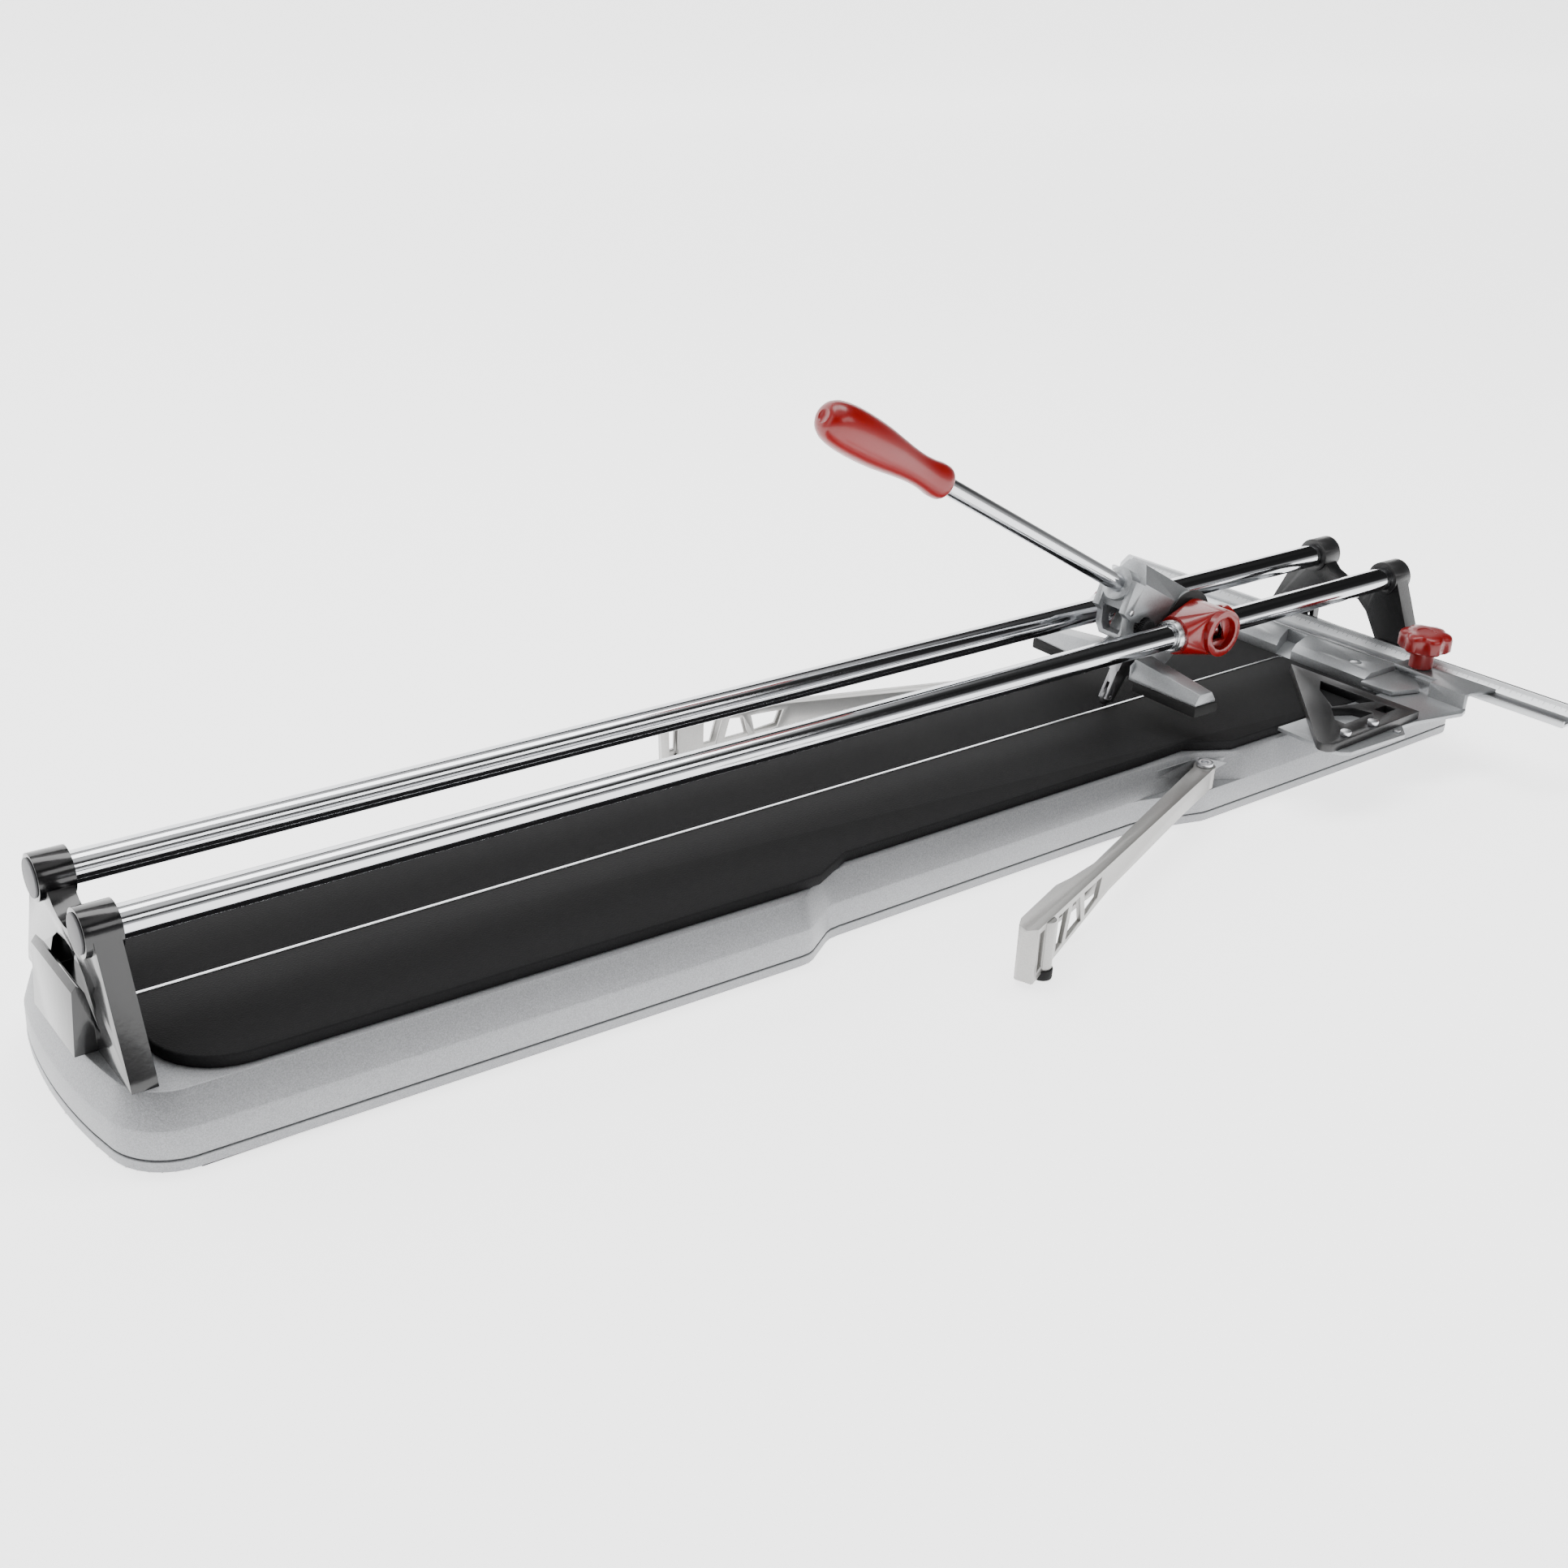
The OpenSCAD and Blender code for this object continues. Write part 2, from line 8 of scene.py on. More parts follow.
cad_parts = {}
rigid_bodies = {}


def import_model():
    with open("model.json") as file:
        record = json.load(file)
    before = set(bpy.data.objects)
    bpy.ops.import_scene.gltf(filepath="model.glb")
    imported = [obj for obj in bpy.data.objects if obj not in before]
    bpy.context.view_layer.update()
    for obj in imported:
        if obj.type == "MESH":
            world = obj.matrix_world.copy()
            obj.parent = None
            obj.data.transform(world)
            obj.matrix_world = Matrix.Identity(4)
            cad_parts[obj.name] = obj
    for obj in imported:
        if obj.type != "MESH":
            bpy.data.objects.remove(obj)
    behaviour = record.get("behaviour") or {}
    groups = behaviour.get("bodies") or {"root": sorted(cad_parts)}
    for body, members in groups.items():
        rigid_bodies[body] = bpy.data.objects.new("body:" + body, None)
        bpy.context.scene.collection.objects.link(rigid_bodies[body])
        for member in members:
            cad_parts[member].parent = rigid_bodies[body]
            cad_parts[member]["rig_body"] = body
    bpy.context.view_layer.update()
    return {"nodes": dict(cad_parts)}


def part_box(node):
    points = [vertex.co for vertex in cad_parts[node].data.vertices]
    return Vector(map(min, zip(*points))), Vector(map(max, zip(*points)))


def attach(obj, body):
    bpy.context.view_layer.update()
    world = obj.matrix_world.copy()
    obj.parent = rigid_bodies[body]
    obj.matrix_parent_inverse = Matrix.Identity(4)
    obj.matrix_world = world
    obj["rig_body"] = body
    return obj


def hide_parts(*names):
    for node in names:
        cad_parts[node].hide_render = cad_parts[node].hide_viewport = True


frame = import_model()

# ---- Room: floor, backdrop, soft boxes and camera ----------------------------------------
# A white sweep on the floor, with large soft boxes above and to both sides, so that the
# chromed rails and the gloss enamel have something bright and something dark to mirror.


def nodes_of(material):
    material.use_nodes = True
    tree = material.node_tree
    return tree, tree.nodes["Principled BSDF"]


def new_object(name, mesh):
    piece = bpy.data.objects.new(name, mesh)
    bpy.context.scene.collection.objects.link(piece)
    return piece


def mesh_from(name, points, faces):
    mesh = bpy.data.meshes.new(name)
    mesh.from_pydata([tuple(p) for p in points], [], [tuple(f) for f in faces])
    mesh.update()
    return mesh


def join_rings(rings, sides, capped=True):
    """Faces of a skin over rings of points, which are listed ring by ring."""
    faces = []
    for i in range(rings - 1):
        for k in range(sides):
            n = (k + 1) % sides
            faces.append((i * sides + k, i * sides + n, (i + 1) * sides + n, (i + 1) * sides + k))
    if capped:
        faces.append(tuple(range(sides))[::-1])
        faces.append(tuple((rings - 1) * sides + k for k in range(sides)))
    return faces


def white_sweep():
    """Floor paper that bends up into the backdrop, in metres."""
    front_edge, bend_start, bend_radius, top_edge = -9.0, 4.5, 2.5, 8.0
    left_edge, right_edge, bend_steps = -9.0, 11.0, 12
    profile = [(front_edge, 0.0), (bend_start, 0.0)]
    for step in range(1, bend_steps + 1):
        angle = math.radians(90 * step / bend_steps)
        profile.append((bend_start + bend_radius * math.sin(angle),
                        bend_radius - bend_radius * math.cos(angle)))
    profile.append((bend_start + bend_radius, top_edge))
    points, faces = [], []
    for along, height in profile:
        points.append((left_edge, along, height))
        points.append((right_edge, along, height))
    for i in range(len(profile) - 1):
        faces.append((2 * i, 2 * i + 1, 2 * i + 3, 2 * i + 2))
    sweep = new_object("studio_sweep", mesh_from("studio_sweep", points, faces))
    for polygon in sweep.data.polygons:
        polygon.use_smooth = True
    paper = bpy.data.materials.new("studio_paper")
    tree, shader = nodes_of(paper)
    shader.inputs["Base Color"].default_value = (0.93, 0.93, 0.93, 1)
    shader.inputs["Roughness"].default_value = 0.9
    shader.inputs["Emission Color"].default_value = (1, 1, 1, 1)
    shader.inputs["Emission Strength"].default_value = 2.2
    sweep.data.materials.append(paper)


def soft_box(name, place, target, size, power):
    lamp = bpy.data.lights.new(name, "AREA")
    lamp.shape = "RECTANGLE"
    lamp.size, lamp.size_y = size
    lamp.energy = power
    holder = bpy.data.objects.new(name, lamp)
    bpy.context.scene.collection.objects.link(holder)
    holder.location = place
    aim = Vector(target) - Vector(place)
    holder.rotation_euler = aim.to_track_quat("-Z", "Y").to_euler()


white_sweep()
soft_box("top_box", (0.1, 0.2, 2.3), (0.0, 0.0, 0.0), (2.6, 0.9), 46)
soft_box("left_box", (-2.4, 0.4, 1.5), (0.0, 0.0, 0.1), (1.0, 1.6), 10)
soft_box("right_box", (0.6, -2.4, 1.6), (0.1, 0.0, 0.1), (2.2, 0.8), 20)

# Shade of the room against height: bright below and overhead, with a dark band between them
# that puts the dark streaks in the chrome.
band_shades = ((0.60, 0.30), (0.64, 0.03), (0.80, 0.02), (0.87, 0.06), (0.92, 1.0), (0.97, 0.9))
room = bpy.data.worlds.new("room")
room.use_nodes = True
room_tree = room.node_tree
background = room_tree.nodes["Background"]
spread = room_tree.nodes.new("ShaderNodeTexCoord")
split = room_tree.nodes.new("ShaderNodeSeparateXYZ")
room_ramp = room_tree.nodes.new("ShaderNodeValToRGB")
room_ramp.color_ramp.elements[0].position = 0.50
room_ramp.color_ramp.elements[0].color = (0.9, 0.9, 0.9, 1)
room_ramp.color_ramp.elements[1].position = 1.0
room_ramp.color_ramp.elements[1].color = (0.05, 0.05, 0.05, 1)
for stop, shade in band_shades:
    room_ramp.color_ramp.elements.new(stop).color = (shade, shade, shade, 1)
lift = room_tree.nodes.new("ShaderNodeMath")
lift.operation = "MULTIPLY_ADD"
lift.inputs[1].default_value = 0.5
lift.inputs[2].default_value = 0.5
room_tree.links.new(spread.outputs["Generated"], split.inputs[0])
room_tree.links.new(split.outputs["Z"], lift.inputs[0])
room_tree.links.new(lift.outputs[0], room_ramp.inputs[0])
room_tree.links.new(room_ramp.outputs[0], background.inputs["Color"])
background.inputs["Strength"].default_value = 0.95
bpy.context.scene.world = room

camera_data = bpy.data.cameras.new("camera")
camera_data.lens = 43.09
camera_data.sensor_width = 36
camera_data.clip_end = 60
camera = bpy.data.objects.new("camera", camera_data)
bpy.context.scene.collection.objects.link(camera)
camera_place = Vector((-0.82565, -0.94981, 0.63909))
yaw, pitch, roll = math.radians(38.488), math.radians(25.104), math.radians(2.581)
ahead = Vector((math.sin(yaw) * math.cos(pitch), math.cos(yaw) * math.cos(pitch), -math.sin(pitch)))
level = Vector((math.cos(yaw), -math.sin(yaw), 0))
raised = level.cross(ahead)
across = math.cos(roll) * level + math.sin(roll) * raised
upward = -math.sin(roll) * level + math.cos(roll) * raised
camera.matrix_world = Matrix((
    (across.x, upward.x, -ahead.x, camera_place.x),
    (across.y, upward.y, -ahead.y, camera_place.y),
    (across.z, upward.z, -ahead.z, camera_place.z),
    (0, 0, 0, 1),
))
bpy.context.scene.camera = camera


# ---- Cast base ---------------------------------------------------------------------------
# One aluminium casting, ribbed underneath, with waisted sides and a pocket in each side
# for a support arm. It is powder coated in a sparkling silver that has a fine orange peel.


def coated(name, colour, roughness, flakes=0.0, peel=0.0006, peel_scale=900, metallic=0.0,
           coat=0.0, wear=0.06, grime=0.1, strength=0.25):
    """Powder coat or enamel: flakes sparkle, the peel is its bump, and edges wear paler."""
    material = bpy.data.materials.new(name)
    tree, shader = nodes_of(material)
    place = tree.nodes.new("ShaderNodeTexCoord")
    shader.inputs["Metallic"].default_value = metallic
    shader.inputs["Coat Weight"].default_value = coat
    shader.inputs["Coat Roughness"].default_value = 0.06
    flake = tree.nodes.new("ShaderNodeTexVoronoi")
    flake.inputs["Scale"].default_value = 1600
    tint = tree.nodes.new("ShaderNodeValToRGB")
    dark = [c * (1 - flakes) for c in colour]
    light = [min(1, c * (1 + flakes)) for c in colour]
    tint.color_ramp.elements[0].color = (*dark, 1)
    tint.color_ramp.elements[1].color = (*light, 1)
    cloud = tree.nodes.new("ShaderNodeTexNoise")
    cloud.inputs["Scale"].default_value = 9
    cloud.inputs["Detail"].default_value = 6
    shade = tree.nodes.new("ShaderNodeMix")
    shade.data_type = "RGBA"
    shade.blend_type = "MULTIPLY"
    patch = tree.nodes.new("ShaderNodeMapRange")
    patch.inputs["From Min"].default_value = 0.35
    patch.inputs["From Max"].default_value = 0.75
    patch.inputs["To Min"].default_value = 0.0
    patch.inputs["To Max"].default_value = grime
    edge = tree.nodes.new("ShaderNodeNewGeometry")
    rim = tree.nodes.new("ShaderNodeMapRange")
    rim.inputs["From Min"].default_value = 0.52
    rim.inputs["From Max"].default_value = 0.62
    rim.inputs["To Max"].default_value = wear
    pale = tree.nodes.new("ShaderNodeMix")
    pale.data_type = "RGBA"
    pale.inputs["B"].default_value = (0.8, 0.8, 0.8, 1)
    shade.inputs["B"].default_value = (0.55, 0.54, 0.52, 1)
    tree.links.new(place.outputs["Object"], flake.inputs["Vector"])
    tree.links.new(place.outputs["Object"], cloud.inputs["Vector"])
    tree.links.new(flake.outputs["Color"], tint.inputs[0])
    tree.links.new(cloud.outputs["Fac"], patch.inputs["Value"])
    tree.links.new(patch.outputs[0], shade.inputs["Factor"])
    tree.links.new(tint.outputs[0], shade.inputs["A"])
    tree.links.new(edge.outputs["Pointiness"], rim.inputs["Value"])
    tree.links.new(rim.outputs[0], pale.inputs["Factor"])
    tree.links.new(shade.outputs["Result"], pale.inputs["A"])
    tree.links.new(pale.outputs["Result"], shader.inputs["Base Color"])
    sheen = tree.nodes.new("ShaderNodeMapRange")
    sheen.inputs["To Min"].default_value = max(roughness - 0.05, 0.02)
    sheen.inputs["To Max"].default_value = roughness + 0.08
    tree.links.new(cloud.outputs["Fac"], sheen.inputs["Value"])
    tree.links.new(sheen.outputs[0], shader.inputs["Roughness"])
    skin = tree.nodes.new("ShaderNodeTexNoise")
    skin.inputs["Scale"].default_value = peel_scale
    skin.inputs["Detail"].default_value = 3
    bump = tree.nodes.new("ShaderNodeBump")
    bump.inputs["Distance"].default_value = peel
    bump.inputs["Strength"].default_value = strength
    tree.links.new(place.outputs["Object"], skin.inputs["Vector"])
    tree.links.new(skin.outputs["Fac"], bump.inputs["Height"])
    tree.links.new(bump.outputs[0], shader.inputs["Normal"])
    return material


def finish_piece(piece, body, material, slot_name, *stands_for):
    """Gives a piece its material, puts it on its body and hides the frame nodes it is for."""
    piece.data.materials.clear()
    piece.data.materials.append(material)
    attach(piece, body)
    if stands_for:
        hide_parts(*stands_for)
    return piece


def smooth_by_angle(mesh, degrees):
    limit = math.cos(math.radians(degrees))
    shape = bmesh.new()
    shape.from_mesh(mesh)
    for face in shape.faces:
        face.smooth = True
    for edge in shape.edges:
        two = len(edge.link_faces) == 2
        edge.smooth = two and edge.link_faces[0].normal.dot(edge.link_faces[1].normal) > limit
    shape.to_mesh(mesh)
    shape.free()


def dressed(node, material, bevel=0.0008, segments=2, angle=28):
    """The node's own form with its cast or machined edges rounded."""
    source = frame["nodes"][node]
    mesh = source.data.copy()
    shape = bmesh.new()
    shape.from_mesh(mesh)
    bmesh.ops.remove_doubles(shape, verts=shape.verts, dist=0.00002)
    bmesh.ops.dissolve_limit(
        shape, angle_limit=math.radians(1.2), verts=shape.verts, edges=shape.edges)
    for face in shape.faces:
        face.smooth = True
    shape.to_mesh(mesh)
    shape.free()
    piece = new_object(node + "_finished", mesh)
    if bevel:
        round_over = piece.modifiers.new("round_over", "BEVEL")
        round_over.width = bevel
        round_over.segments = segments
        round_over.limit_method = "ANGLE"
        round_over.angle_limit = math.radians(angle)
        depsgraph = bpy.context.evaluated_depsgraph_get()
        rounded = bpy.data.meshes.new_from_object(piece.evaluated_get(depsgraph))
        piece.modifiers.clear()
        piece.data = rounded
    smooth_by_angle(piece.data, 34)
    return finish_piece(piece, source["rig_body"], material, node, node)


silver_powder = coated("silver_powder", (0.27, 0.275, 0.285), 0.38, flakes=0.22, metallic=0.45,
                       peel=0.0004, peel_scale=1400, strength=0.35)

# Where the pocket's ramp starts and ends along the base, in millimetres: below the arm's
# ledge and above it.
below_ledge, above_ledge = (200, 257), (266, 301)


def base_half(inset, out_a, out_b):
    """One half of the base outline in millimetres, drawn in by inset."""
    def bow(x, y, radius, start, end, count):
        steps = [math.radians(start + (end - start) * i / count) for i in range(count + 1)]
        return [(x + radius * math.cos(a), y + radius * math.sin(a)) for a in steps]

    half = bow(394 - 592, 0, 394 - inset, 180, 187.8, 8)
    half += bow(-546, -64, 40 - inset, 188, 264, 14)
    side = [(-500, -105.5), (-400, -108.8), (-300, -112.1), (-200, -115.4), (-150, -117.0),
            (-142, -117.2), (-135, -116.7), (-130, -114.8), (-108, -101.2), (-103, -99.2),
            (-95, -98.5), (0, -98.5), (100, -98.5), (out_a - 7, -98.5), (out_a, -99.0),
            (out_a + 5, -100.5), (out_b - 5, -113.6), (out_b, -115.1), (out_b + 6, -115.5),
            (420, -114.8), (500, -114.0)]
    half += [(x - 0.24 * inset if -140 < x < 0 else x + 0.2 * inset if 150 < x < 320 else x,
              y + inset) for x, y in side]
    half += bow(578, -102.4, max(10 - inset, 0.5), 270, 360, 8)
    return half


def base_ring(inset, outs, height):
    """The whole outline at one height, taken from millimetres to metres."""
    half = base_half(inset, *outs)
    other_half = [(x, -y) for x, y in half[:0:-1]]
    return [(x / 1000, y / 1000, height / 1000) for x, y in half + other_half]


def base_shell():
    """Outside of the casting: rim, groove, side, arm pocket ledge, bevel and top flange."""
    wide, narrow = below_ledge, above_ledge
    levels = [(4, 5, wide), (1.05, 5, wide), (1, 4.4, wide), (1, 0.9, wide), (1.3, 0.3, wide),
              (2, 0, wide), (7.7, 0, wide), (8.2, 0.3, wide), (8.3, 1.4, wide),
              (9.1, 1.4, wide), (9.2, 0.5, wide), (9.8, 0.2, wide), (26, 0.7, wide),
              (26.8, 0.8, wide), (27, 0.85, wide), (27.05, 0.85, narrow), (27.6, 1.0, narrow),
              (43.4, 6.4, narrow), (44.4, 7.0, narrow), (46.9, 8.0, narrow),
              (47.7, 8.7, narrow), (48, 9.6, narrow)]
    rings = [base_ring(inset, outs, height) for height, inset, outs in levels]
    count = len(rings[0])
    faces = join_rings(len(rings), count, capped=False)
    top = (len(rings) - 1) * count
    for k in range((count - 1) // 2):
        faces.append((top + k, top + k + 1, top + count - 1 - k, top + (count - k) % count))
    faces = [tuple(dict.fromkeys(face)) for face in faces]
    shell = new_object("base_shell", mesh_from("base_shell", [p for r in rings for p in r], faces))
    smooth_by_angle(shell.data, 30)
    return shell


def base_underside():
    """The ribbed hollow, taken from the frame's own casting, without its outer skin."""
    ledge_underside, flange_underside = 0.0232, 0.0441
    low_outline = base_ring(3.5, below_ledge, 0)
    high_outline = base_ring(11.2, below_ledge, 0)

    def inside(outline, x, y):
        hit = False
        for (ax, ay, _), (bx, by, _) in zip(outline, outline[1:] + outline[:1]):
            if (ay > y) != (by > y) and x < ax + (y - ay) * (bx - ax) / (by - ay):
                hit = not hit
        return hit

    mesh = frame["nodes"]["base_casting"].data.copy()
    shape = bmesh.new()
    shape.from_mesh(mesh)
    outer = []
    for face in shape.faces:
        middle_point = face.calc_center_median()
        high = middle_point.z > ledge_underside
        covered = middle_point.z > flange_underside or (high and face.normal.z > 0.5)
        outline = high_outline if high else low_outline
        if covered or not inside(outline, middle_point.x, middle_point.y):
            outer.append(face)
    bmesh.ops.delete(shape, geom=outer, context="FACES")
    shape.to_mesh(mesh)
    shape.free()
    return new_object("base_underside", mesh)


finish_piece(base_shell(), "frame", silver_powder, "base_casting", "base_casting")
finish_piece(base_underside(), "frame", silver_powder, "base_casting")

# ---- Foam pads, break strip and feet -----------------------------------------------------
# Closed-cell foam sheets carry the tile on both sides of a bright steel strip, which is
# the line the tile breaks over. Five moulded rubber feet are pressed into the base.


def foam_or_rubber(name, colour, roughness, grain, depth, speck=0.25):
    material = bpy.data.materials.new(name)
    tree, shader = nodes_of(material)
    shader.inputs["Specular IOR Level"].default_value = 0.2
    place = tree.nodes.new("ShaderNodeTexCoord")
    cells = tree.nodes.new("ShaderNodeTexVoronoi")
    cells.inputs["Scale"].default_value = grain
    dust = tree.nodes.new("ShaderNodeTexNoise")
    dust.inputs["Scale"].default_value = 14
    dust.inputs["Detail"].default_value = 8
    tone = tree.nodes.new("ShaderNodeValToRGB")
    tone.color_ramp.elements[0].position = 0.3
    tone.color_ramp.elements[0].color = (*[c * (1 - speck) for c in colour], 1)
    tone.color_ramp.elements[1].position = 0.75
    tone.color_ramp.elements[1].color = (*[min(1, c * (1 + 1.6 * speck)) for c in colour], 1)
    sheen = tree.nodes.new("ShaderNodeMapRange")
    sheen.inputs["To Min"].default_value = roughness - 0.08
    sheen.inputs["To Max"].default_value = min(1, roughness + 0.06)
    bump = tree.nodes.new("ShaderNodeBump")
    bump.inputs["Distance"].default_value = depth
    bump.inputs["Strength"].default_value = 0.5
    tree.links.new(place.outputs["Object"], cells.inputs["Vector"])
    tree.links.new(place.outputs["Object"], dust.inputs["Vector"])
    tree.links.new(dust.outputs["Fac"], tone.inputs[0])
    tree.links.new(tone.outputs[0], shader.inputs["Base Color"])
    tree.links.new(dust.outputs["Fac"], sheen.inputs["Value"])
    tree.links.new(sheen.outputs[0], shader.inputs["Roughness"])
    tree.links.new(cells.outputs["Distance"], bump.inputs["Height"])
    tree.links.new(bump.outputs[0], shader.inputs["Normal"])
    return material


def bare_metal(name, colour, roughness, streak=(1, 1, 1), depth=0.00005, variation=0.08):
    """Ground, turned or plated metal: fine marks stretched along the way it was worked."""
    material = bpy.data.materials.new(name)
    tree, shader = nodes_of(material)
    shader.inputs["Metallic"].default_value = 1.0
    place = tree.nodes.new("ShaderNodeTexCoord")
    stretch = tree.nodes.new("ShaderNodeMapping")
    stretch.inputs["Scale"].default_value = streak
    marks = tree.nodes.new("ShaderNodeTexNoise")
    marks.inputs["Scale"].default_value = 400
    marks.inputs["Detail"].default_value = 5
    tone = tree.nodes.new("ShaderNodeValToRGB")
    tone.color_ramp.elements[0].color = (*[c * (1 - variation) for c in colour], 1)
    tone.color_ramp.elements[1].color = (*[min(1, c * (1 + variation)) for c in colour], 1)
    sheen = tree.nodes.new("ShaderNodeMapRange")
    sheen.inputs["To Min"].default_value = max(0.02, roughness * 0.75)
    sheen.inputs["To Max"].default_value = roughness * 1.35
    bump = tree.nodes.new("ShaderNodeBump")
    bump.inputs["Distance"].default_value = depth
    bump.inputs["Strength"].default_value = 0.25
    tree.links.new(place.outputs["Object"], stretch.inputs["Vector"])
    tree.links.new(stretch.outputs[0], marks.inputs["Vector"])
    tree.links.new(marks.outputs["Fac"], tone.inputs[0])
    tree.links.new(tone.outputs[0], shader.inputs["Base Color"])
    tree.links.new(marks.outputs["Fac"], sheen.inputs["Value"])
    tree.links.new(sheen.outputs[0], shader.inputs["Roughness"])
    tree.links.new(marks.outputs["Fac"], bump.inputs["Height"])
    tree.links.new(bump.outputs[0], shader.inputs["Normal"])
    return material


foam = foam_or_rubber("black_foam", (0.0055, 0.0055, 0.006), 0.85, 900, 0.0004)
rubber = foam_or_rubber("black_rubber", (0.008, 0.008, 0.008), 0.7, 2200, 0.0001)
strip_steel = bare_metal("strip_steel", (0.72, 0.73, 0.74), 0.24, (0.2, 6, 6))
zinc = bare_metal("zinc_plate", (0.62, 0.63, 0.65), 0.3)
dressed("front_pad", foam, 0.0012, 3)
dressed("back_pad", foam, 0.0012, 3)
dressed("break_strip", strip_steel, 0.0003)
dressed("rubber_feet", rubber, 0.0012)

# ---- Rails and their end caps ------------------------------------------------------------
# Two ground and hard-chromed steel bars. Their polish is clean with faint sliding marks.
# A grey moulded cap closes the bracket boss at each of their ends.
chrome = bare_metal("hard_chrome", (0.62, 0.63, 0.65), 0.09, (0.15, 4, 4), 0.00001, 0.04)
cap_grey = foam_or_rubber("cap_grey", (0.14, 0.14, 0.145), 0.5, 1500, 0.00005)


def turned(name, outline, centre, direction, sides=64):
    """A piece turned about an axis; outline is (distance along the axis, radius)."""
    way = Vector(direction).normalized()
    side = way.orthogonal().normalized()
    other = way.cross(side)
    points = []
    for along, radius in outline:
        for k in range(sides):
            angle = 2 * math.pi * k / sides
            out = side * math.cos(angle) + other * math.sin(angle)
            points.append(Vector(centre) + way * along + out * max(radius, 0.00002))
    piece = new_object(name, mesh_from(name, points, join_rings(len(outline), sides)))
    smooth_by_angle(piece.data, 34)
    return piece


def middle(node):
    """Centre and corners of a frame node's box."""
    low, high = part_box(node)
    return (low + high) / 2, low, high


for node in ("front_rail", "back_rail"):
    centre, low, high = middle(node)
    r = (high.z - low.z) / 2
    outline = [(low.x, 0), (low.x, r - 0.001), (low.x + 0.001, r), (high.x - 0.001, r),
               (high.x, r - 0.001), (high.x, 0)]
    bar = turned(node + "_bar", outline, (0, centre.y, centre.z), (1, 0, 0), 96)
    finish_piece(bar, "frame", chrome, node, node)
dressed("rail_caps", cap_grey, 0.0006)

# ---- Rail brackets -----------------------------------------------------------------------
# Each bracket is a single casting that clamps both rails and bolts to the base from below.
# The near one is in gloss black enamel, the far one in satin black.
gloss_black = coated("gloss_black", (0.002, 0.002, 0.0025), 0.16, coat=0.3, peel=0.0003,
                     peel_scale=260, wear=0.02, grime=0.0, strength=0.2)
satin_black = coated("satin_black", (0.005, 0.005, 0.0055), 0.36, flakes=0.15, wear=0.05,
                     grime=0.05)
dressed("near_bracket", gloss_black, 0.0022, 3)
dressed("far_bracket", satin_black, 0.0014, 2)
dressed("bracket_screws", zinc, 0.0004)

# ---- Fence, ruler and their screws -------------------------------------------------------
# The fence block and the ruler are satin silver. The ruler has a groove for the side stop and
# a sloped band with a printed row of ticks in millimetres.
satin_silver = coated("satin_silver", (0.30, 0.31, 0.32), 0.34, flakes=0.14, metallic=0.6,
                      peel=0.0002, peel_scale=1500)
anodised = bare_metal("anodised", (0.46, 0.47, 0.48), 0.34, (6, 0.15, 6), 0.00003)
print_ink = foam_or_rubber("black_ink", (0.015, 0.015, 0.015), 0.55, 2000, 0.00001)
dressed("fence_casting", satin_silver, 0.0012, 2)
dressed("fence_screws", zinc, 0.0004)
dressed("fence_end", satin_silver, 0.0008, 2)
dressed("ruler_track", anodised, 0.0005, 2)
dressed("ruler_band", anodised, 0.0005, 2)
dressed("ruler_screws", zinc, 0.0003)


def ticks(name, body, slot_name, origin, step_way, tick_way, up_way, count, gap, lengths):
    """A printed scale: thin raised bars, each fifth and tenth one longer."""
    half_width, ink_depth = 0.00016, 0.00004
    step, way, up = Vector(step_way), Vector(tick_way).normalized(), Vector(up_way).normalized()
    step.normalize()
    points, faces = [], []
    for k in range(count):
        long = lengths[0] if k % 10 == 0 else lengths[1] if k % 5 == 0 else lengths[2]
        start = Vector(origin) + step * gap * k
        width = step * half_width
        base = len(points)
        for rise in (0.0, ink_depth):
            for side, far in ((-1, 0), (1, 0), (1, 1), (-1, 1)):
                points.append(start + width * side + way * long * far + up * rise)
        faces += [(base + 4, base + 5, base + 6, base + 7), (base, base + 3, base + 2, base + 1)]
        for a, b in ((0, 1), (1, 2), (2, 3), (3, 0)):
            faces.append((base + a, base + b, base + b + 4, base + a + 4))
    scale = new_object(name, mesh_from(name, points, faces))
    finish_piece(scale, body, print_ink, slot_name)


table_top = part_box("front_pad")[1].z
ruler_angle = math.radians(3.1)
ruler_turn = Matrix.Rotation(ruler_angle, 4, "Z")
ruler_zero = Vector((0.541, 0, table_top))


def on_ruler(x, y, z):
    return ruler_zero + ruler_turn @ Vector((x, y, z))


slope_way = ruler_turn @ Vector((0.0105, 0, 0.006))
slope_up = ruler_turn @ Vector((-0.006, 0, 0.0105))
ticks("ruler_scale", "frame", "ruler_band", on_ruler(0.0106, -0.230, 0.01545) + slope_up * 0.002,
      ruler_turn @ Vector((0, 1, 0)), -slope_way, slope_up, 461, 0.001, (0.0072, 0.0055, 0.0038))

# ---- Support arms ------------------------------------------------------------------------
# Two pale die-cast arms, ribbed and windowed underneath, swing out on shoulder screws to hold
# a long tile. Each ends in a rubber-tipped foot that reaches almost to the floor.
cast_alloy = coated("cast_alloy", (0.34, 0.335, 0.325), 0.32, flakes=0.08, metallic=0.75,
                    peel=0.0003, peel_scale=700, wear=0.1)
for node in ("front_arm", "back_arm"):
    dressed(node, cast_alloy, 0.0008, 2)
    dressed(node + "_foot", rubber, 0.0008)
dressed("arm_pivot_screws", zinc, 0.0004)

